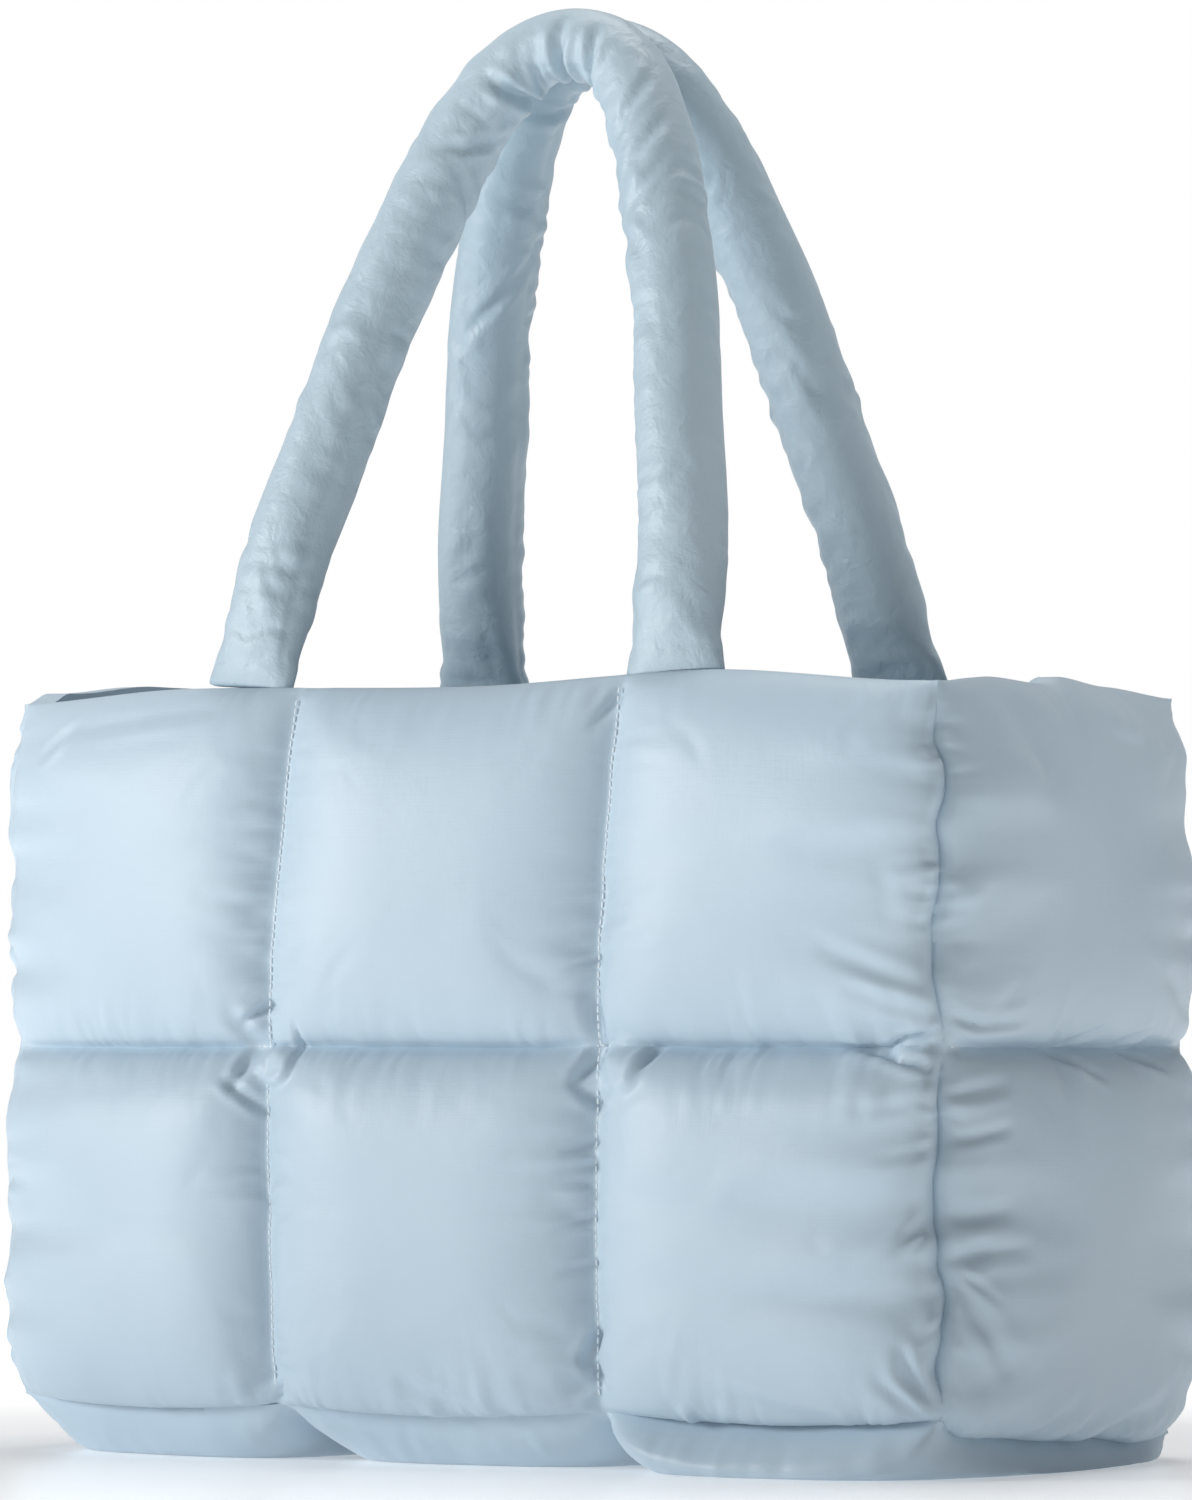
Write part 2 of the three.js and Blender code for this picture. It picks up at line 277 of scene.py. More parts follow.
# A white acrylic table: softly glossy, and glowing with painted light of its own, more so further out, so
# that it runs into the white behind the bag.
def whiteTable():
    material, tree = newMaterial("white_acrylic_table")
    place = addNode(tree, "ShaderNodeTexCoord")
    # Painted light: the table's glow grows with the distance from the bag's middle.
    far = addNode(
        tree, "ShaderNodeVectorMath", settings={"operation": "LENGTH"}, links={0: (place, "Object")}
    )
    glow = addNode(
        tree, "ShaderNodeMapRange", settings={"interpolation_type": "SMOOTHSTEP"},
        values={"From Min": 0.2, "From Max": 0.9, "To Min": 0.26, "To Max": 0.8},
        links={"Value": (far, "Value")},
    )
    shader = addNode(
        tree, "ShaderNodeBsdfPrincipled",
        values={"Base Color": (0.93, 0.93, 0.94, 1), "Roughness": 0.28, "Emission Color": (1, 1, 1, 1)},
        links={"Emission Strength": (glow, "Result")},
    )
    addNode(tree, "ShaderNodeOutputMaterial", links={"Surface": (shader, "BSDF")})
    return material


def addLight(name, place, aim, size, watts):
    data = bpy.data.lights.new(name, "AREA")
    data.shape = "DISK"
    data.size = size
    data.energy = watts
    light = bpy.data.objects.new(name, data)
    scene.collection.objects.link(light)
    light.location = place
    light.rotation_euler = (Vector(aim) - Vector(place)).to_track_quat("-Z", "Y").to_euler()


# A white table, one large soft key from the front left, a weaker light from above and a white surround.
def makeStudio():
    bpy.ops.object.select_all(action="DESELECT")
    bpy.ops.mesh.primitive_plane_add(size=14)
    floor = bpy.context.object
    floor.name = "studio_floor"
    floor.data.materials.append(whiteTable())
    middle = (0, 0, 0.25)
    addLight("key", (-2.75, -2.6, 1.05), middle, 1.2, 80)
    addLight("top", (0.0, 0.5, 2.2), middle, 1.4, 24)
    world = bpy.data.worlds.new("studio_white")
    scene.world = world
    world.use_nodes = True
    tree = world.node_tree
    tree.nodes.clear()
    path = addNode(tree, "ShaderNodeLightPath")
    strength = addNode(
        tree, "ShaderNodeMapRange",
        values={"To Min": 0.2, "To Max": 1.0},
        links={"Value": (path, "Is Camera Ray")},
    )
    light = addNode(
        tree, "ShaderNodeBackground", values={"Color": (1, 1, 1, 1)}, links={"Strength": (strength, "Result")}
    )
    addNode(tree, "ShaderNodeOutputWorld", links={"Surface": (light, "Background")})
    scene.view_settings.view_transform = "Standard"
    scene.view_settings.look = "None"


# Height of the seam between the walls and the base, at a place from -1 to 1 along the bag and through it.
def baseSeamAt(along, through):
    _, place = puffAt(along, 3)
    height = bag["baseSeam"] - bag["frontSag"] * gentle(place) - bag["endSag"] * gentle(through)
    sunk = ease((along - bag["endSinkFrom"]) / (1 - bag["endSinkFrom"]))
    return height - sunk * fromTable(rightEndSink, through)


walls = {
    "front_panel": {"turn": 0, "long": True},
    "right_panel": {"turn": 90, "long": False},
    "back_panel": {"turn": 180, "long": True},
    "left_panel": {"turn": -90, "long": False},
}
for wallName, wall in walls.items():
    wall["name"] = wallName
    wall["half"] = (bag["length"] if wall["long"] else bag["depth"]) / 2
    wall["reach"] = (bag["depth"] if wall["long"] else bag["length"]) / 2
    wall["halfLean"] = bag["lengthLean"] if wall["long"] else bag["depthLean"]
    wall["reachLean"] = bag["depthLean"] if wall["long"] else bag["lengthLean"]
    wall["bow"] = bag["mouthBow"] if wall["long"] else 0.0
    wall["columns"] = 3 if wall["long"] else 1


# The place along the bag and through it where a wall stands on the base.
def wallFoot(wall, across):
    foot = Matrix.Rotation(math.radians(wall["turn"]), 3, "Z") @ Vector((across, -1, 0))
    return foot.x, foot.y


def rimAt(wallName, along):
    return bag["rim"] + bag["rimWave"] * fromTable(rimLifts[wallName], along)


# The seam at each corner wanders, and both walls that meet there follow it.
def cornerWander(alongSign, throughSign, height):
    seed = 3 * alongSign + throughSign
    held = ease((bag["rim"] - height) / seamWander["rimHold"])
    sideways = seamWander["corner"] * held * wander(height, seed, seamWander["cornerScale"])
    inwards = seamWander["corner"] * held * wander(height, seed + 20, seamWander["cornerScale"])
    return Vector((sideways - alongSign * inwards, sideways * alongSign - throughSign * inwards, 0))


# A place on a wall's seam sheet: across runs from -1 to 1, and up from 0 at the base to 2 at the rim.
def seamSheet(wall, across, up):
    lean = max(0.0, up - 1) ** bag["leanCurve"]
    half = wall["half"] - wall["halfLean"] * lean
    reach = wall["reach"] - (wall["reachLean"] + wall["bow"] * gentle(across)) * lean
    x = across * (half + bag["cornerOverlap"])
    if up < 1:
        z = lerp(baseSeamAt(*wallFoot(wall, across)), bag["quiltSeam"], up)
    else:
        z = lerp(bag["quiltSeam"], rimAt(wall["name"], x / (wall["half"] - wall["halfLean"])), up - 1)
    index, place = puffAt(across, wall["columns"])
    drifts = seamDrift.get(wall["name"], ((), ()))
    ends = []
    for line in (index, index + 1):
        inner = 0 < line < wall["columns"]
        drift = fromTable(drifts[line - 1], up) if inner and drifts[0] else 0.0
        if inner:
            drift += seamWander["fine"] * wander(z, line, seamWander["fineScale"])
        ends.append(drift)
    x += lerp(ends[0], ends[1], (place + 1) / 2)
    z += seamWander["fine"] * wander(x, 9, seamWander["fineScale"]) * (1 - abs(up - 1)) ** 2 * (up > 0)
    point = Vector((x, -reach, z))
    side = 1 if across > 0 else -1
    outer = 1 - 2 / wall["columns"] if wall["columns"] > 1 else 0.0
    if abs(across) > outer:
        share = ease((abs(across) - outer) / (1 - outer))
        turn = Matrix.Rotation(math.radians(wall["turn"]), 3, "Z")
        corner = turn @ Vector((side, -1, 0))
        signs = (1 if corner.x > 0 else -1, 1 if corner.y > 0 else -1)
        point += share * (turn.transposed() @ cornerWander(*signs, z))
    return point


# Which kinds of seam bound the puff at a place on a wall: left, right, below and above.
def puffSides(wall, across, up):
    index, _ = puffAt(across, wall["columns"])
    left = "corner" if index == 0 else "quilting"
    right = "corner" if index == wall["columns"] - 1 else "quilting"
    return (left, right, "base", "level") if up < 1 else (left, right, "level", "rim")


def shellPoint(wall, across, up):
    _, place = puffAt(across, wall["columns"])
    row, height = puffAt(up - 1, 2)
    left, right, below, above = puffSides(wall, across, up)
    rise = puffs["rise"] * puffs["rows"][row] * fullness(place, left, right) * fullness(height, below, above)
    side = 1 if across > 0 else -1
    atCorner = abs(across) > 1 - 1 / wall["columns"] and place * side > 0
    fan = puffs["cornerFan"] * place * abs(place) if atCorner else 0.0
    hang = puffs["hemFan"] if row == 0 else puffs["levelHang"]
    droop = -hang * height * height if height < 0 else 0.0
    point = seamSheet(wall, across, up)
    point.x += rise * math.sin(fan)
    point.y -= rise * math.cos(fan) * math.cos(droop)
    point.z += rise * math.sin(droop) - (bag["cornerOverlap"] if up == 0 else 0)
    return point


# How far one seam's gathers lift the cloth at a distance from it.
def gatherFrom(away, alongSeam, seed, fine=1.0):
    if away <= 0:
        return 0.0
    reach = gather["reach"] * fine
    spacing = gather["spacing"] * fine
    folds = noise.noise(Vector((alongSeam / spacing, away / spacing / gather["stretch"], seed)))
    strength = clamp(0.5 + 1.6 * noise.noise(Vector((alongSeam / gather["patch"], 3.1, seed + 5))), 0.1, 1.3)
    lift = gather["depth"] * fine * away / reach * math.exp(1 - away / reach)
    return lift * strength * (2 * abs(folds) - 0.5)


# The gathers of all four seams round the puff at a place on a wall.
def gathersAt(wall, across, up, fine=1.0):
    index, place = puffAt(across, wall["columns"])
    row, height = puffAt(up - 1, 2)
    halfWide = wall["half"] / wall["columns"]
    halfTall = (bag["rim"] - bag["baseSeam"]) / 4
    seed = 10 * wall["turn"] + 4 * index + row
    sides = puffSides(wall, across, up)
    edges = (
        (halfWide * (1 + place), halfTall * height), (halfWide * (1 - place), halfTall * height),
        (halfTall * (1 + height), halfWide * place), (halfTall * (1 - height), halfWide * place),
    )
    total = 0.0
    for number, (away, alongSeam) in enumerate(edges):
        if away < gather["farthest"]:
            total += gather["sides"][sides[number]] * gatherFrom(away, alongSeam, seed + number * 0.37, fine)
    return total


def liningPoint(wall, across, up):
    _, place = puffAt(across, wall["columns"])
    _, height = puffAt(up - 1, 2)
    wallNow = lerp(bag["seamWall"], bag["rimWall"], max(0.0, up - 1) ** bag["hemCurve"])
    point = seamSheet(wall, across, up)
    point.x -= across * wallNow
    point.y += wallNow + puffs["liningRise"] * gentle(place) * gentle(height)
    point.z += bag["seamWall"] * max(0.0, 1 - up)
    return point


# Turns a finished sheet to its side of the bag, and turns the left front corner back as it has settled.
def settle(point, turn, fade=1.0):
    point = Matrix.Rotation(math.radians(turn), 3, "Z") @ point
    column = bag["length"] / 3
    turned = max(0.0, -point.x - column / 2) / column
    front = (bag["depth"] / 2 - point.y) / bag["depth"]
    point.y += bag["cornerPush"] * turned ** bag["pushCurve"] * front * fade
    return point


# A grid of cloth whose places from -1 to 1 are moved to where pointAt says.
def makeSheet(name, columns, rows, pointAt):
    bpy.ops.object.select_all(action="DESELECT")
    bpy.ops.mesh.primitive_grid_add(x_subdivisions=columns, y_subdivisions=rows, size=2)
    sheet = bpy.context.object
    sheet.name = name
    places = [(vertex.co.x, vertex.co.y) for vertex in sheet.data.vertices]
    for vertex, (across, up) in zip(sheet.data.vertices, places):
        vertex.co = pointAt(across, up)
    return sheet, places


def setWeights(sheet, name, weights):
    group = sheet.vertex_groups.new(name=name)
    for index, weight in enumerate(weights):
        if weight > 0:
            group.add([index], weight, "REPLACE")


# Blows the cloth up against its pinned seams, and keeps the shape it takes, moved by no more than the cap.
def inflate(sheet, pins, excess, cloth):
    start = [vertex.co.copy() for vertex in sheet.data.vertices]
    setWeights(sheet, "pins", pins)
    setWeights(sheet, "excess", excess)
    modifier = sheet.modifiers.new("Cloth", "CLOTH")
    settings = modifier.settings
    settings.quality = 5
    settings.mass = 0.3
    settings.tension_stiffness = 15
    settings.compression_stiffness = 15
    settings.shear_stiffness = 5
    settings.bending_stiffness = cloth["bending"]
    settings.air_damping = 1
    settings.use_pressure = True
    settings.uniform_pressure_force = cloth["pressure"]
    settings.effector_weights.gravity = 0
    settings.vertex_group_mass = "pins"
    settings.pin_stiffness = 1
    settings.vertex_group_shrink = "excess"
    settings.shrink_min = 0
    settings.shrink_max = cloth["excess"]
    modifier.collision_settings.use_collision = False
    modifier.point_cache.frame_start = 1
    modifier.point_cache.frame_end = cloth["frames"]
    for number in range(1, cloth["frames"] + 1):
        scene.frame_set(number)
    bpy.context.view_layer.objects.active = sheet
    bpy.ops.object.modifier_apply(modifier=modifier.name)
    scene.frame_set(1)
    furthest = 0.0
    for vertex, before in zip(sheet.data.vertices, start):
        moved = vertex.co - before
        furthest = max(furthest, moved.length)
        if moved.length > 1e-9:
            capped = cloth["cap"] * math.tanh(moved.length / cloth["cap"])
            vertex.co = before + moved * (capped / moved.length)
    print("cloth moved up to", round(1000 * furthest, 1), "mm")


def subdivideOnce(piece):
    bpy.ops.object.select_all(action="DESELECT")
    piece.select_set(True)
    bpy.context.view_layer.objects.active = piece
    modifier = piece.modifiers.new("Subdivision", "SUBSURF")
    modifier.levels = modifier.render_levels = 1
    modifier.boundary_smooth = "PRESERVE_CORNERS"
    bpy.ops.object.modifier_apply(modifier=modifier.name)


# Each vertex's place on its sheet, from 0 to 1 both ways, as its map says.
def mapPlaces(piece):
    mesh = piece.data
    places = numpy.zeros((len(mesh.vertices), 2))
    owners = numpy.zeros(len(mesh.loops), dtype=int)
    mesh.loops.foreach_get("vertex_index", owners)
    spots = numpy.zeros(2 * len(mesh.loops))
    mesh.uv_layers.active.data.foreach_get("uv", spots)
    places[owners] = spots.reshape(-1, 2)
    return places


foldDepth = 1.5  # deepens every crease and kink in the tables below
sculpt = {"fine": 0.8, "fineScale": 0.55, "sideFade": 40, "seamFade": 25}
seamEdge = 0.999  # beyond this share of a puff's half the cloth is on its seam


# How far a set of creases pushes the cloth in along its normal. Rows are in millimetres.
def creasePush(x, z, rows):
    push = numpy.zeros(len(x))
    for fromX, fromZ, toX, toZ, depth, width in rows:
        alongX, alongZ = toX - fromX, toZ - fromZ
        length = math.hypot(alongX, alongZ)
        share = ((x - fromX) * alongX + (z - fromZ) * alongZ) / length ** 2
        held = numpy.clip(share, 0, 1)
        away = numpy.hypot(x - fromX - held * alongX, z - fromZ - held * alongZ) / width
        side = ((x - fromX) * alongZ - (z - fromZ) * alongX) / length / width
        taper = numpy.sin(math.pi * (0.08 + 0.84 * held)) ** 0.6
        inside = numpy.clip(1 - 4 * numpy.abs(share - held), 0, 1)
        ridge = numpy.exp(-((side - 1.8) ** 2)) + 0.6 * numpy.exp(-((side + 2.0) ** 2))
        push += foldDepth * depth * taper * (0.45 * inside * ridge - numpy.exp(-(away ** 2)))
    return push


# Lumps of cloth caught up at the crossings. Rows are (x, z, half width, half height, lift, softness), in
# millimetres but for the softness.
def lobePush(x, z, rows):
    push = numpy.zeros(len(x))
    for middleX, middleZ, halfWide, halfTall, lift, softness in rows:
        far = numpy.hypot((x - middleX) / halfWide, (z - middleZ) / halfTall)
        share = numpy.clip((1 - far) / softness, 0, 1)
        push += lift * share * share * (3 - 2 * share)
    return push


# Adds the fine gathers and the named folds to a wall's smoothed shell.
def sculptWall(wall, shell):
    mesh = shell.data
    places = mapPlaces(shell)
    across, up = 2 * places[:, 0] - 1, 2 * places[:, 1]
    x = 1000 * across * wall["half"]
    lower = 1000 * (bag["baseSeam"] + (bag["quiltSeam"] - bag["baseSeam"]) * up)
    upper = 1000 * (bag["quiltSeam"] + (bag["rim"] - bag["quiltSeam"]) * (up - 1))
    z = numpy.where(up < 1, lower, upper)
    folds = wallFolds.get(wall["name"], {"creases": (), "lobes": ()})
    creases = creasePush(x, z, folds["creases"])
    lobes = lobePush(x, z, folds["lobes"])
    normals = [vertex.normal.copy() for vertex in mesh.vertices]
    for index, vertex in enumerate(mesh.vertices):
        fine = sculpt["fine"] * gathersAt(wall, across[index], up[index], sculpt["fineScale"])
        fromSide = (1 - abs(across[index])) * sculpt["sideFade"]
        edge = min(1.0, fromSide, up[index] * sculpt["seamFade"], (2 - up[index]) * sculpt["seamFade"])
        vertex.co += normals[index] * (fine + edge * creases[index] / 1000)
        vertex.co.y -= edge * lobes[index] / 1000


# Keeps a wall on its own side of its corner seams and above the base's puffs.
def keepClear(wall, sheet, places):
    for vertex, (across, up) in zip(sheet.data.vertices, places):
        out = seamSheet(wall, across, up + 1).y - vertex.co.y
        side = 1 if across > 0 else -1
        edge = seamSheet(wall, side, up + 1)
        limit = side * edge.x + max(0.0, edge.y - vertex.co.y)
        if vertex.co.x * side > limit:
            vertex.co.x = side * limit
        seam = baseSeamAt(*wallFoot(wall, across)) - bag["cornerOverlap"]
        vertex.co.z = max(vertex.co.z, seam - bag["hemSlope"] * max(0.0, out))


# Joins a shell to its lining round the edges.
def closePanel(shell, lining):
    bpy.ops.object.select_all(action="DESELECT")
    lining.select_set(True)
    shell.select_set(True)
    bpy.context.view_layer.objects.active = shell
    bpy.ops.object.join()
    bpy.ops.object.mode_set(mode="EDIT")
    bpy.ops.mesh.select_all(action="DESELECT")
    bpy.ops.mesh.select_mode(type="EDGE")
    bpy.ops.mesh.select_non_manifold()
    bpy.ops.mesh.bridge_edge_loops()
    bpy.ops.mesh.select_all(action="SELECT")
    bpy.ops.mesh.normals_make_consistent(inside=False)
    bpy.ops.object.mode_set(mode="OBJECT")
    bpy.ops.object.shade_smooth_by_angle(angle=math.radians(60))
    return shell


def uvInMetres(sheet, width, height):
    for loop in sheet.data.uv_layers.active.data:
        loop.uv = (loop.uv[0] * width, loop.uv[1] * height)


def makeWall(wall, material):
    width = 2 * wall["half"]
    height = bag["rim"] - bag["baseSeam"]
    columns = wall["columns"] * round(width / wall["columns"] / bag["cell"])
    rows = 2 * round(height / 2 / bag["cell"])
    shell, places = makeSheet(wall["name"], columns, rows, lambda a, u: shellPoint(wall, a, u + 1))
    normals = [vertex.normal.copy() for vertex in shell.data.vertices]
    pins, excess = [], []
    for vertex, normal, (across, up) in zip(shell.data.vertices, normals, places):
        _, place = puffAt(across, wall["columns"])
        _, high = puffAt(up, 2)
        onSeam = abs(place) > seamEdge or abs(high) > seamEdge
        pins.append(1.0 if onSeam else 0.0)
        excess.append(max(abs(place), abs(high)) ** 2)
        lift = 0.0 if onSeam else gathersAt(wall, across, up + 1)
        vertex.co += normal * lift
    inflate(shell, pins, excess, shellCloth)
    keepClear(wall, shell, places)
    subdivideOnce(shell)
    sculptWall(wall, shell)
    lining, _ = makeSheet("lining", columns, rows, lambda a, u: liningPoint(wall, a, u + 1))
    lining.data.flip_normals()
    for sheet in (shell, lining):
        uvInMetres(sheet, width, height)
        for vertex in sheet.data.vertices:
            vertex.co = settle(vertex.co, wall["turn"])
    panel = closePanel(shell, lining)
    panel.data.materials.append(material)
    return panel


# The folds that the photograph shows on the front and right walls, in millimetres from the wall's middle and
# the floor: creases as (from x, from z, to x, to z, depth, width), lobes as lobePush says.
wallFolds = {
    "front_panel": {
        "creases": (
            (-68, 173, -79, 167, 1.8, 1.6),
            (-86, 144, -70, 132, 1.4, 1.8),
            (-56, 166, -55, 150, 1.2, 1.4),
            (-77, 153, -82, 142, 1.5, 2.5),
            (-75, 158, -85, 170, 1.0, 3),
            (70, 154, 63, 143, 1.6, 2.6),
            (63, 142, 73, 132, 1.2, 2),
            (96, 155, 89, 146, 1.5, 2),
            (70, 160, 67, 177, 1.2, 3),
            (71, 188, 60, 185, 0.8, 1.6),
            (72, 122, 61, 117, 0.8, 1.6),
            (71, 112, 59, 110, 0.7, 1.8),
            (71, 94, 58, 89, 0.7, 1.8),
            (72, 77, 60, 74, 0.7, 1.8),
            (206, 178, 172, 192, 0.9, 3),
            (206, 168, 180, 178, 1.0, 2.6),
            (171, 157, 191, 153, 1.5, 1.6),
            (189, 153, 206, 147, 1.8, 1.8),
            (206, 162, 194, 160, 1.6, 1.6),
            (194, 160, 184, 154, 1.0, 1.6),
            (206, 136, 182, 133, 0.6, 2.5),
            (206, 119, 190, 116, 0.7, 2),
            (206, 94, 194, 84, 1.2, 2.5),
            (206, 28, 194, 50, 1.8, 2.2),
            (200, 27, 188, 41, 1.0, 2),
            (205, 77, 140, 66, 0.6, 5),
            (203, 65, 155, 70, 0.5, 4),
            (168, 26, 128, 37, 0.9, 3.5),
            (18, 27, -7, 38, 0.8, 3),
            (72, 54, 66, 44, 1.4, 2),
            (66, 44, 72, 34, 1.2, 2),
            (-66, 32, -69, 24, 1.4, 1.4),
            (-66, 32, -63, 24, 1.4, 1.4),
            (71, 284, 62, 272, 0.9, 2),
            (-168, 277, -104, 282, 0.9, 3),
            (-184, 268, -172, 279, 1.2, 2),
        ),
        "lobes": (
            (-65, 149, 10, 9, 4.0, 0.4),
            (83, 150, 12, 13, 3.5, 0.5),
            (197, 155, 11, 5, 2.5, 0.5),
        ),
    },
    "right_panel": {
        "creases": (
            (-90, 168, -77, 166, 1.2, 2.2),
            (-80, 166, -51, 168, 1.0, 2.2),
            (-92, 139, -66, 143, 1.2, 2.5),
            (-92, 123, -68, 128, 0.9, 2),
            (-93, 96, -68, 100, 1.2, 3),
            (-93, 81, -78, 86, 1.8, 3),
            (-84, 86, -58, 87, 1.2, 3),
            (-92, 71, -68, 50, 1.4, 3.5),
            (-92, 78, -76, 69, 0.8, 2),
            (-49, 19, -19, 38, 1.0, 3),
            (-24, 17, 3, 34, 1.4, 3),
            (-4, 15, 51, 38, 1.6, 4),
            (20, 15, 44, 26, 1.0, 2.5),
            (-22, 154, 6, 146, 1.6, 1.8),
            (35, 154, 57, 149, 1.6, 1.8),
            (29, 158, 47, 165, 1.0, 1.5),
            (-10, 158, 10, 165, 1.0, 1.5),
            (-61, 282, -36, 258, 1.5, 9),
        ),
        "lobes": ((28, 276, 26, 9, 1.6, 0.8),),
    },
}


def squeezeOut(place, width):
    inside = (1 - abs(place)) / width
    return math.copysign(inside * math.exp(1 - inside), place)


# The base hangs from the walls' seams, and the floor presses its puffs flat. Puffs are (fill, push outwards).
base = {
    "rise": 0.034,
    "crown": 2.6,
    "shoulder": 0.5,
    "spread": 0.026,
    "endSpread": 0.016,
    "backShare": 0.6,  # the last puff is pushed out less on the hidden side
    "spreadWidth": 0.12,
    "slope": 0.45,
    "puffs": ((0.9, 0.0), (0.8, 0.0), (1.0, 1.0)),
    "cell": 0.0035,
    "cloth": {"pressure": 4.0, "frames": 20, "excess": -0.03, "bending": 0.05, "cap": 0.002},
}


def baseFullness(place):
    return max(0.0, 1 - abs(place) ** base["crown"]) ** base["shoulder"]


def basePoint(along, through):
    index, place = puffAt(along, 3)
    fill, push = base["puffs"][index]
    drop = base["rise"] * fill * baseFullness(place) * baseFullness(through)
    endwise = 0.0
    if index == 2 and place > 0:
        endwise = base["endSpread"] * gentle(through) * squeezeOut(place, base["spreadWidth"])
    spread = base["spread"] * push * (base["backShare"] if through > 0 else 1.0)
    sidewise = spread * baseFullness(place) * squeezeOut(through, base["spreadWidth"])
    x = along * (bag["length"] / 2 + bag["cornerOverlap"]) + endwise
    y = through * (bag["depth"] / 2 + bag["cornerOverlap"]) + sidewise
    corner = cornerWander(1 if along > 0 else -1, 1 if through > 0 else -1, baseSeamAt(along, through))
    held = ease((abs(along) - 1 / 3) * 1.5) * ease(abs(through))  # only the end puffs follow the corners
    return Vector((x, y, baseSeamAt(along, through) - drop)) + corner * held


# Presses the base on the floor, and keeps what bulges beyond the walls below them.
def keepUnder(point, along, through):
    beyond = max(abs(point.y) - bag["depth"] / 2, abs(point.x) - bag["length"] / 2, 0.0)
    if beyond > 0:
        point.z = min(point.z, baseSeamAt(along, through) - base["slope"] * beyond)
    point.z = max(0.0, point.z)


def baseLiningPoint(along, through):
    _, place = puffAt(along, 3)
    x = along * (bag["length"] / 2 - bag["seamWall"] + bag["cornerOverlap"])
    y = through * (bag["depth"] / 2 - bag["seamWall"] + bag["cornerOverlap"])
    rise = puffs["liningRise"] * gentle(place) * gentle(through)
    return Vector((x, y, baseSeamAt(along, through) + bag["seamWall"] + rise))


# The gathers round each of the base's puffs.
def baseGathersAt(along, through):
    index, place = puffAt(along, 3)
    halfLong = bag["length"] / 6
    halfDeep = bag["depth"] / 2
    edges = (
        (halfLong * (1 + place), halfDeep * through), (halfLong * (1 - place), halfDeep * through),
        (halfDeep * (1 + through), halfLong * place), (halfDeep * (1 - through), halfLong * place),
    )
    total = 0.0
    for number, (away, alongSeam) in enumerate(edges):
        total += gatherFrom(away, alongSeam, 3.1 * index + number)
    return total


def makeBase(material):
    columns = 3 * round(bag["length"] / 3 / base["cell"])
    rows = 2 * round(bag["depth"] / 2 / base["cell"])
    shell, places = makeSheet("base_panel", columns, rows, lambda a, t: basePoint(a, -t))
    normals = [vertex.normal.copy() for vertex in shell.data.vertices]
    pins, excess = [], []
    for vertex, normal, (along, through) in zip(shell.data.vertices, normals, places):
        _, place = puffAt(along, 3)
        onSeam = abs(place) > seamEdge or abs(through) > seamEdge
        pins.append(1.0 if onSeam else 0.0)
        excess.append(max(abs(place), abs(through)) ** 2)
        lift = 0.0 if onSeam else baseGathersAt(along, -through)
        vertex.co += normal * lift
    inflate(shell, pins, excess, base["cloth"])
    for vertex, (along, through) in zip(shell.data.vertices, places):
        keepUnder(vertex.co, along, -through)
    subdivideOnce(shell)
    lining, _ = makeSheet("lining", columns, rows, lambda a, t: baseLiningPoint(a, -t))
    lining.data.flip_normals()
    for sheet in (shell, lining):
        uvInMetres(sheet, bag["length"], bag["depth"])
        for vertex in sheet.data.vertices:
            vertex.co = settle(vertex.co, 0)
            vertex.co.z = max(0.0, vertex.co.z)
    panel = closePanel(shell, lining)
    panel.data.materials.append(material)
    return panel


# The stuffed handles: route rows are (out, up), and section rows (up, width or depth), all as shares.
handles = {
    "spread": 0.094,
    "rise": 0.248,
    "width": 0.035,
    "depth": 0.031,
    "top": 0.027,
    "topGap": 0.0008,
    "seat": 0.0003,
    "route": (
        (1, 0), (0.965, 0.1), (0.905, 0.25), (0.795, 0.42),
        (0.7, 0.58), (0.58, 0.72), (0.45, 0.85), (0.25, 0.965),
    ),
    "around": 44,
    "along": 232,
    "wrinkle": 0.0019,
    "ripple": 0.013,
    "rippleSlant": 1.6,
    "rippleDrift": 2.0,
    "patch": 0.045,
    "groove": 0.0012,
    "grooveWidth": 0.0013,
    "plainFoot": 0.002,  # the folds begin this high above the rim
    "foldsGrow": 0.012,
    "sewnFoot": 0.006,
    "turnFrom": 0.009,  # and the foot's turn with its wall fades out from here
    "turnShare": 0.3,
    "cloth": {"pressure": 4.0, "frames": 20, "excess": -0.03, "bending": 0.05, "cap": 0.0015},
}
handleSections = {
    "wide": (
        (0, 1.2), (0.04, 1.14), (0.07, 1.03), (0.13, 1.04), (0.3, 1), (0.75, 0.96), (0.9, 0.88), (1, 0.771),
    ),
    "deep": (
        (0, 0.258), (0.04, 0.5), (0.07, 0.68), (0.13, 0.9), (0.3, 1), (0.75, 1), (0.9, 0.95), (1, 0.871),
    ),
}
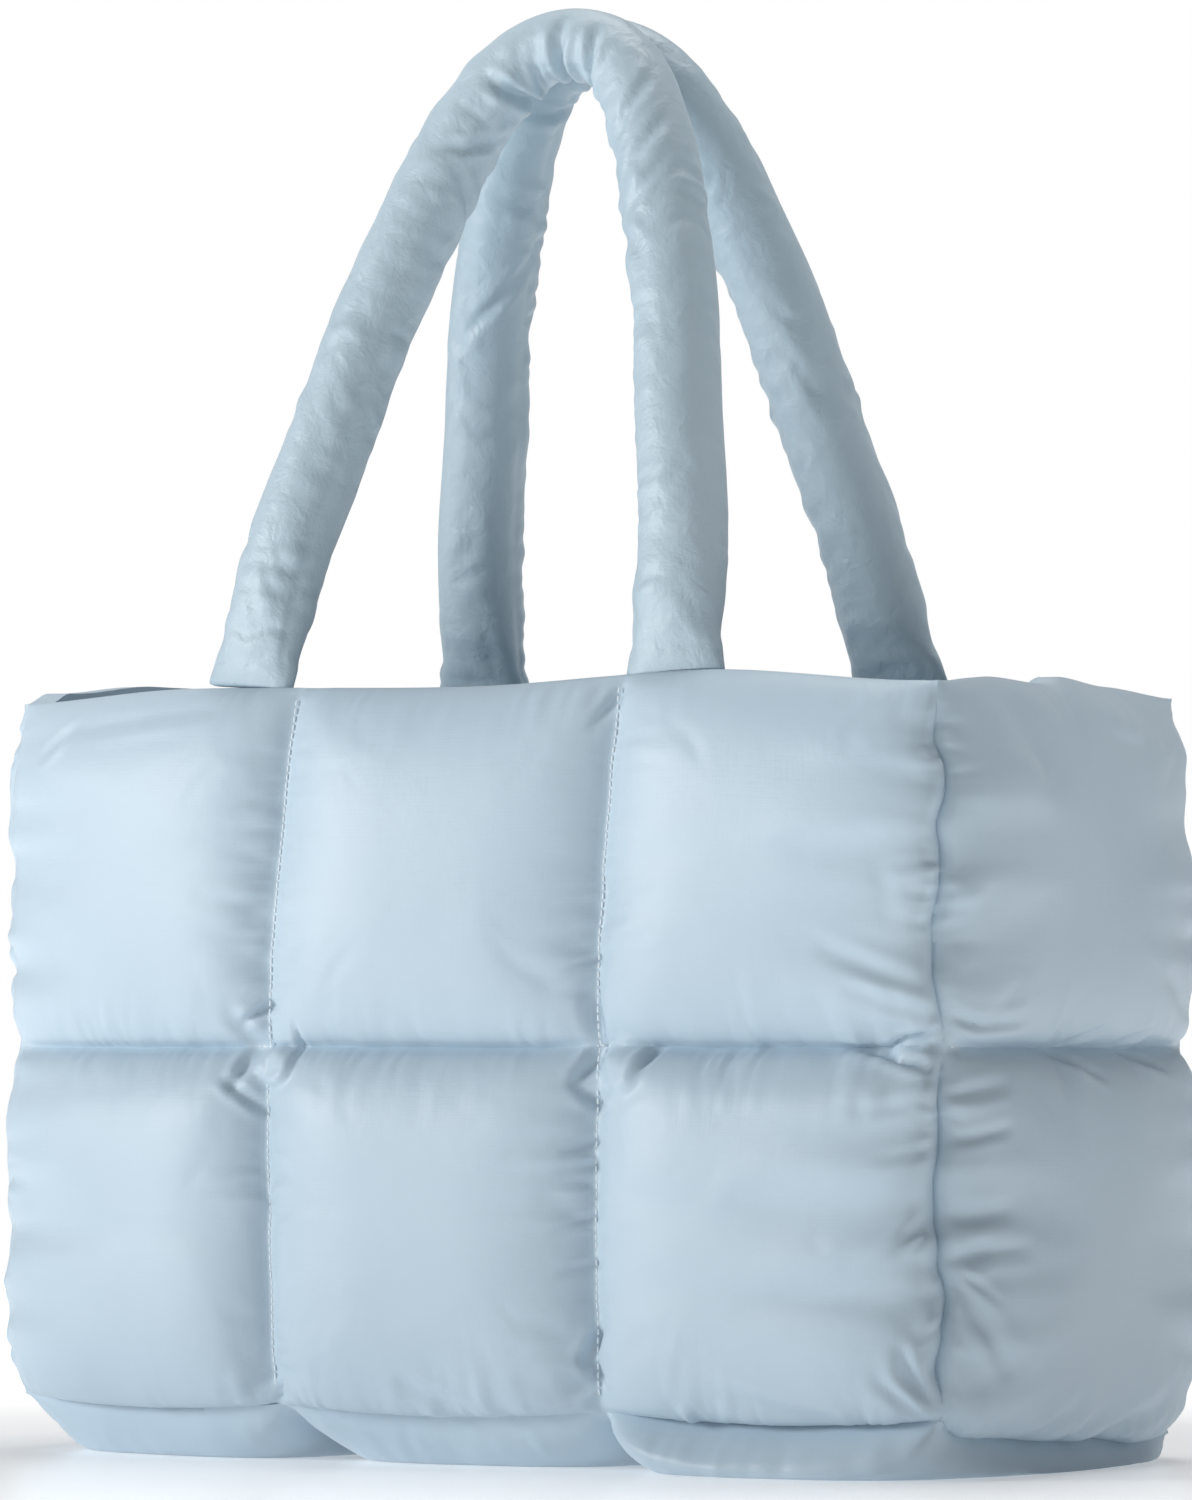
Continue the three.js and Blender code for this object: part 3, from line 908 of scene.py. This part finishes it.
# Where each handle's seam runs round it, and its kinks: (share along, middle round, half width round, depth
# and width in millimetres, lean).
sides = {
    "front_handle": {
        "wall": "front_panel", "turn": 0, "footShift": -0.002, "topShift": 0.007, "seam": 0.83,
        "kinks": (
            (0.452, -0.9, 0.62, 3.6, 2.6, 0.010),
            (0.505, 1.0, 0.7, 3.4, 2.4, -0.006),
            (0.545, 0.72, 0.4, 2.6, 2.2, 0.012),
            (0.475, 0.95, 0.35, 1.8, 2.0, -0.012),
            (0.40, 0.8, 0.3, 1.6, 2.4, 0.02),
            (0.36, -0.95, 0.3, 1.4, 2.4, -0.02),
            (0.60, 0.5, 0.3, 1.2, 2.6, 0.02),
            (0.63, 0.45, 0.28, 1.0, 2.6, 0.02),
            (0.66, 0.5, 0.25, 0.9, 2.4, 0.02),
        ),
    },
    "back_handle": {
        "wall": "back_panel", "turn": 180, "footShift": -0.004, "topShift": -0.001, "seam": -0.96,
        "kinks": (
            (0.455, -0.9, 0.5, 2.4, 2.6, 0.01),
            (0.51, 1.0, 0.6, 2.6, 2.4, -0.01),
            (0.56, -0.8, 0.4, 2.0, 2.4, 0.01),
            (0.30, 0.6, 0.5, 1.0, 3.0, 0.05),
            (0.24, 0.5, 0.5, 1.0, 3.0, 0.05),
            (0.70, -0.7, 0.4, 1.2, 3.0, 0.05),
        ),
    },
}


# Evenly spaced points on a smooth curve through a handle's route.
def handleCurve(side, count):
    footReach = bag["depth"] / 2 - bag["depthLean"] - bag["rimWall"] / 2
    footReach -= bag["mouthBow"] * gentle(handles["spread"] / (bag["length"] / 2))
    topReach = (handles["top"] + handles["topGap"]) / 2
    knots = []
    rows = handles["route"]
    for sign, leg in ((-1, rows), (0, ((0, 1),)), (1, tuple(reversed(rows)))):
        for out, up in leg:
            x = sign * out * handles["spread"] + lerp(side["footShift"], side["topShift"], up)
            y = -lerp(footReach, topReach, up)
            knots.append(Vector((x, y, bag["rim"] + handles["rise"] * up)))
    fine = []
    for index in range(len(knots) - 1):
        before = knots[max(0, index - 1)]
        first, second = knots[index], knots[index + 1]
        after = knots[min(len(knots) - 1, index + 2)]
        for step in range(24):
            t = step / 24
            fine.append(0.5 * (
                2 * first + (second - before) * t
                + (2 * before - 5 * first + 4 * second - after) * t ** 2
                + (3 * first - before - 3 * second + after) * t ** 3
            ))
    fine.append(knots[-1])
    lengths = [0.0]
    for first, second in zip(fine, fine[1:]):
        lengths.append(lengths[-1] + (second - first).length)
    points, at = [], 0
    for step in range(count + 1):
        wanted = lengths[-1] * step / count
        while at < len(fine) - 2 and lengths[at + 1] < wanted:
            at += 1
        share = (wanted - lengths[at]) / (lengths[at + 1] - lengths[at])
        points.append(fine[at].lerp(fine[at + 1], clamp(share, 0, 1)))
    slope = Vector((0, footReach - topReach, handles["rise"])).normalized()
    return points, Vector((1, 0, 0)).cross(slope).normalized()


# How far the cloth of a handle is lifted at a place round it and along it, both from -1 to 1.
def handleFolds(side, around, along, length):
    girth = math.pi * (handles["width"] + handles["depth"]) / 2
    metres = (along + 1) / 2 * length
    around = (around + 1) % 2 - 1
    fromSeam = (around - side["seam"] + 1) % 2 - 1
    away = abs(fromSeam) * girth / 2
    seed = 4.7 + side["turn"]
    lift = gatherFrom(away, metres, seed + (1 if fromSeam > 0 else 2))
    turn = math.pi * around
    round1, round2 = math.cos(turn), math.sin(turn)
    drift = noise.noise(Vector((metres / 0.05, round1, seed)))
    slant = metres / handles["ripple"] + handles["rippleSlant"] * fromSeam + handles["rippleDrift"] * drift
    ripple = noise.noise(Vector((slant, 0.9 * round1, 0.9 * round2 + seed)))
    patchNoise = noise.noise(Vector((metres / handles["patch"], round1 + 7, round2)))
    patch = clamp(0.35 + 1.3 * patchNoise, 0.05, 1.0)
    lift += handles["wrinkle"] * patch * (2 * abs(ripple) - 0.5)
    lift -= handles["groove"] * math.exp(-((away / handles["grooveWidth"]) ** 2))
    for share, middle, half, depth, width, lean in side["kinks"]:
        sideways = (around - middle + 1) % 2 - 1
        if abs(sideways) < half:
            apart = ((along + 1) / 2 - share - lean * sideways / half) * length / (width / 1000)
            fade = 1 - (sideways / half) ** 2
            bank = 0.5 * math.exp(-((abs(apart) - 2.2) ** 2))
            lift += foldDepth * depth / 1000 * fade * (bank - math.exp(-(apart ** 2)))
    return lift


def makeHandle(name, material):
    side = sides[name]
    count = handles["along"]
    points, facing = handleCurve(side, count)
    length = sum((second - first).length for first, second in zip(points, points[1:]))

    def tubePoint(around, along):
        step = round((along + 1) / 2 * count)
        middle = points[step]
        tangent = (points[min(count, step + 1)] - points[max(0, step - 1)]).normalized()
        widthwise = facing.cross(tangent).normalized()
        up = clamp((middle.z - bag["rim"]) / handles["rise"], 0, 1)
        wide = handles["width"] / 2 * fromTable(handleSections["wide"], up)
        deep = handles["depth"] / 2 * fromTable(handleSections["deep"], up)
        turn = math.pi * around
        point = middle + widthwise * (wide * math.cos(turn)) + facing * (deep * math.sin(turn))
        if step in (0, count):
            point.z = rimAt(side["wall"], point.x / (bag["length"] / 2 - bag["lengthLean"])) + handles["seat"]
        return point

    tube, places = makeSheet(name, handles["around"], count, tubePoint)
    for vertex, (around, along) in zip(tube.data.vertices, places):
        step = round((along + 1) / 2 * count)
        outward = (vertex.co - points[step]).normalized()
        atFoot = ease((vertex.co.z - bag["rim"] - handles["plainFoot"]) / handles["foldsGrow"])
        vertex.co += outward * atFoot * handleFolds(side, around, along, length)
    uvInMetres(tube, math.pi * handles["width"], length)
    bpy.ops.object.mode_set(mode="EDIT")
    bpy.ops.mesh.select_all(action="SELECT")
    bpy.ops.mesh.remove_doubles(threshold=0.00002)
    bpy.ops.mesh.select_all(action="DESELECT")
    bpy.ops.mesh.select_mode(type="EDGE")
    bpy.ops.mesh.select_non_manifold()
    bpy.ops.mesh.edge_face_add()
    bpy.ops.mesh.select_all(action="SELECT")
    bpy.ops.mesh.normals_make_consistent(inside=False)
    bpy.ops.object.mode_set(mode="OBJECT")
    footTop = bag["rim"] + handles["sewnFoot"]
    pins = [1.0 if vertex.co.z < footTop else 0.0 for vertex in tube.data.vertices]
    inflate(tube, pins, [1.0] * len(pins), handles["cloth"])
    for vertex in tube.data.vertices:
        above = vertex.co.z - bag["rim"] - handles["turnFrom"]
        fade = 1 - ease(above / handles["rise"] / handles["turnShare"])
        vertex.co = settle(vertex.co, side["turn"], fade)
    subdivideOnce(tube)
    bpy.ops.object.shade_smooth()
    tube.data.materials.append(material)
    return tube


# Stitches: one small bead of thread, copied along each seam and joined.
stitching = {
    "pitch": 0.0031,
    "length": 0.0022,
    "thick": 0.0008,
    "rounding": 0.18,
    "upright": 0.0013,  # how proud of the seam the stitches stand
    "level": 0.0006,
    "upFrom": 0.04,
    "upTo": 1.98,
    "levelEnd": 0.98,
    "ahead": 0.002,
}


def makeStitches(name, runs, material):
    bpy.ops.object.select_all(action="DESELECT")
    bpy.ops.mesh.primitive_cylinder_add(vertices=6, radius=0.5, depth=1)
    bead = bpy.context.object
    bpy.ops.object.mode_set(mode="EDIT")
    bpy.ops.mesh.bevel(offset=stitching["rounding"], segments=2, affect="EDGES")
    bpy.ops.object.mode_set(mode="OBJECT")
    shape = [vertex.co.copy() for vertex in bead.data.vertices]
    faces = [tuple(polygon.vertices) for polygon in bead.data.polygons]
    vertices, polygons = [], []
    for run in runs:
        for middle, along, outward in run:
            across = along.cross(outward).normalized()
            first = len(vertices)
            for point in shape:
                vertices.append(
                    middle + along * (point.z * stitching["length"])
                    + across * (point.x * stitching["thick"]) + outward * (point.y * stitching["thick"])
                )
            polygons.extend(tuple(first + index for index in face) for face in faces)
    bpy.data.objects.remove(bead)
    mesh = bpy.data.meshes.new(name)
    mesh.from_pydata(vertices, [], polygons)
    mesh.materials.append(material)
    stitches = bpy.data.objects.new(name, mesh)
    scene.collection.objects.link(stitches)
    bpy.context.view_layer.objects.active = stitches
    stitches.select_set(True)
    bpy.ops.object.mode_set(mode="EDIT")
    bpy.ops.mesh.select_all(action="SELECT")
    bpy.ops.mesh.normals_make_consistent(inside=False)
    bpy.ops.object.mode_set(mode="OBJECT")
    bpy.ops.object.shade_smooth()
    return stitches


# One run of stitches along a wall's seam, from one place on it to another.
def seamRun(wall, start, end, proud):
    first, last = seamSheet(wall, *start), seamSheet(wall, *end)
    count = int((last - first).length / stitching["pitch"])
    run = []
    for step in range(1, count):
        share = step / count
        here = (lerp(start[0], end[0], share), lerp(start[1], end[1], share))
        beyond = share + stitching["ahead"]
        near = (lerp(start[0], end[0], beyond), lerp(start[1], end[1], beyond))
        middle = settle(shellPoint(wall, *here), wall["turn"])
        ahead = settle(shellPoint(wall, *near), wall["turn"])
        outward = Matrix.Rotation(math.radians(wall["turn"]), 3, "Z") @ Vector((0, -1, 0))
        run.append((middle + outward * proud, (ahead - middle).normalized(), outward))
    return run


def wallStitches(wall, material):
    runs = []
    for line in range(1, wall["columns"]):
        across = 2 * line / wall["columns"] - 1
        start, end = (across, stitching["upFrom"]), (across, stitching["upTo"])
        runs.append(seamRun(wall, start, end, stitching["upright"]))
    runs.append(seamRun(wall, (-stitching["levelEnd"], 1), (stitching["levelEnd"], 1), stitching["level"]))
    return makeStitches(wall["name"] + "_stitches", runs, material)


def declare(piece, nodes):
    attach(piece, "root")
    if nodes:
        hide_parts(*nodes)


print("camera and studio")
makeCamera()
makeStudio()
quiltLook = {
    "low": "b6cad8", "high": "c0d3e0", "roughness": 0.46, "slub": 0.12, "crinkle": 0.12, "crinkleScale": 55,
    "slubScales": ((40, 1200), (1200, 40)),
}
handleLook = dict(quiltLook, low="aec3cf", high="b9ccd7", crinkle=0.55, crinkleScale=110)
quiltNylon = nylonTaffeta("quilted_nylon_taffeta", quiltLook)
handleNylon = nylonTaffeta("handle_nylon_taffeta", handleLook)
thread = sewingThread()
for wall in walls.values():
    print("wall", wall["name"])
    declare(makeWall(wall, quiltNylon), [wall["name"]])
    declare(wallStitches(wall, thread), [])
print("base")
declare(makeBase(quiltNylon), ["base_panel"])
for name in sides:
    print("handle", name)
    declare(makeHandle(name, handleNylon), [name])
print("done")
